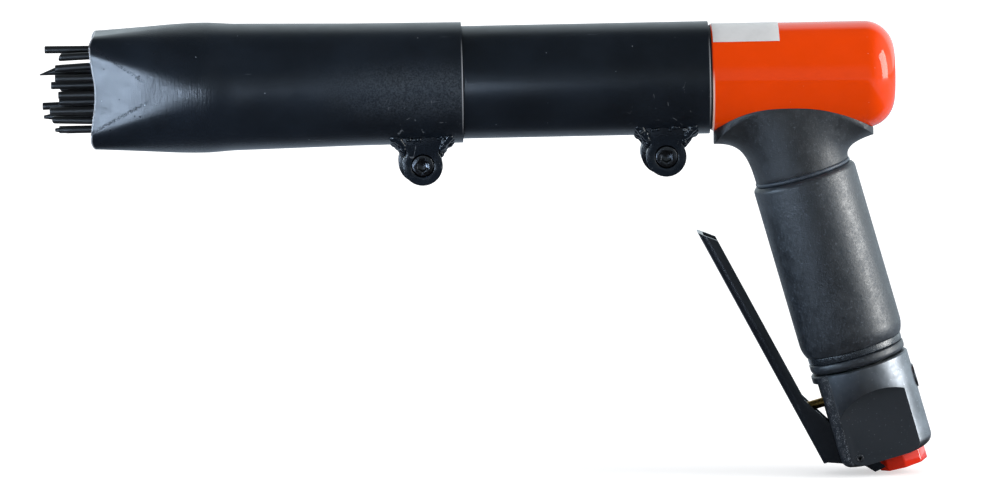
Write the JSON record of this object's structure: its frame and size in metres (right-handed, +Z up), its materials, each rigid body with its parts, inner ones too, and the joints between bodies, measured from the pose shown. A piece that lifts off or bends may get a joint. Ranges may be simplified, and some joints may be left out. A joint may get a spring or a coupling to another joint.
{
  "type": "needle scaler",
  "caption": "Pistol-grip air needle scaler: red rear housing, clamped barrel tubes with a pressed square nozzle, steel needles, rubber grip, throttle lever and air inlet.",
  "frame": {"origin": "middle of the grip sleeve, on the handle's own axis, where a hand holds the tool", "axes": "+X runs along the barrel from the needles to the closed end, +Z is up, +Y is across the tool"},
  "size_m": [0.3542, 0.052, 0.1866],
  "materials": {
    "red_paint": "gloss orange-red paint",
    "saddle_plastic": "matte moulded dark grey",
    "grip_rubber": "matte rubber with a fine grain",
    "bare_aluminium": "turned",
    "valve_casting": "dark satin, partly machined",
    "inlet_red": "gloss red",
    "lever_black": "satin black paint",
    "dark_steel": "blackened steel",
    "bright_steel": "ground steel",
    "needle_steel": "dark drawn steel, worn at the tips",
    "brass": "turned brass",
    "seal_rubber": "nitrile rubber",
    "tube_black": "satin blue-black paint on steel"
  },
  "bodies": {
    "body": {"rear_housing": "red_paint", "saddle": "saddle_plastic", "handle_core": "bare_aluminium", "grip_sleeve": "grip_rubber", "grip_collar": "grip_rubber", "valve_body": "valve_casting", "inlet_bush": "inlet_red", "lever_pin": "dark_steel", "valve_seat": "brass", "stem_seal": "seal_rubber", "valve_spring": "bright_steel", "valve_plug": "dark_steel", "rear_buffer": "seal_rubber", "valve_chest": "bright_steel", "cylinder": "bright_steel", "front_bush": "brass", "return_spring": "bright_steel", "spring_stop": "dark_steel", "rear_tube": "tube_black", "rear_clamp_screw": "dark_steel"},
    "lever": {"throttle_lever": "lever_black"},
    "valve": {"valve_stem": "brass"},
    "piston": {"piston": "bright_steel"},
    "anvil": {"anvil": "bright_steel"},
    "needle_pack": {"needle_holder": "dark_steel", "needles": "needle_steel"},
    "front_barrel": {"front_tube": "tube_black", "front_clamp_screw": "dark_steel"}
  },
  "joints": [
    {"name": "lever_pivot", "type": "hinge", "parent": "body", "child": "lever", "pos_m": [0.0107, 0, -0.07901], "axis": [0, 1, 0], "range_deg": [0, 11], "stiffness_Nm_per_rad": 0.8, "springref_deg": -8.59},
    {"name": "valve_slide", "type": "slide", "parent": "body", "child": "valve", "axis": [0.9636, 0, 0.2672], "range_m": [0, 0.005], "deforming": ["valve_spring"]},
    {"name": "piston_slide", "type": "slide", "parent": "body", "child": "piston", "axis": [-1, 0, 0], "range_m": [0, 0.0285]},
    {"name": "needle_slide", "type": "slide", "parent": "body", "child": "needle_pack", "axis": [-1, 0, 0], "range_m": [0, 0.008], "stiffness_N_per_m": 3000, "springref_m": -0.008, "deforming": ["return_spring"]},
    {"name": "anvil_slide", "type": "slide", "parent": "body", "child": "anvil", "axis": [-1, 0, 0], "range_m": [0, 0.008]},
    {"name": "nozzle_slide", "type": "slide", "parent": "body", "child": "front_barrel", "axis": [1, 0, 0], "range_m": [-0.02, 0.03]}
  ],
  "couplings": [
    {"joint": "valve_slide", "follows": "lever_pivot", "m_per_rad": 0.026},
    {"joint": "anvil_slide", "follows": "needle_slide", "ratio": 1}
  ]
}
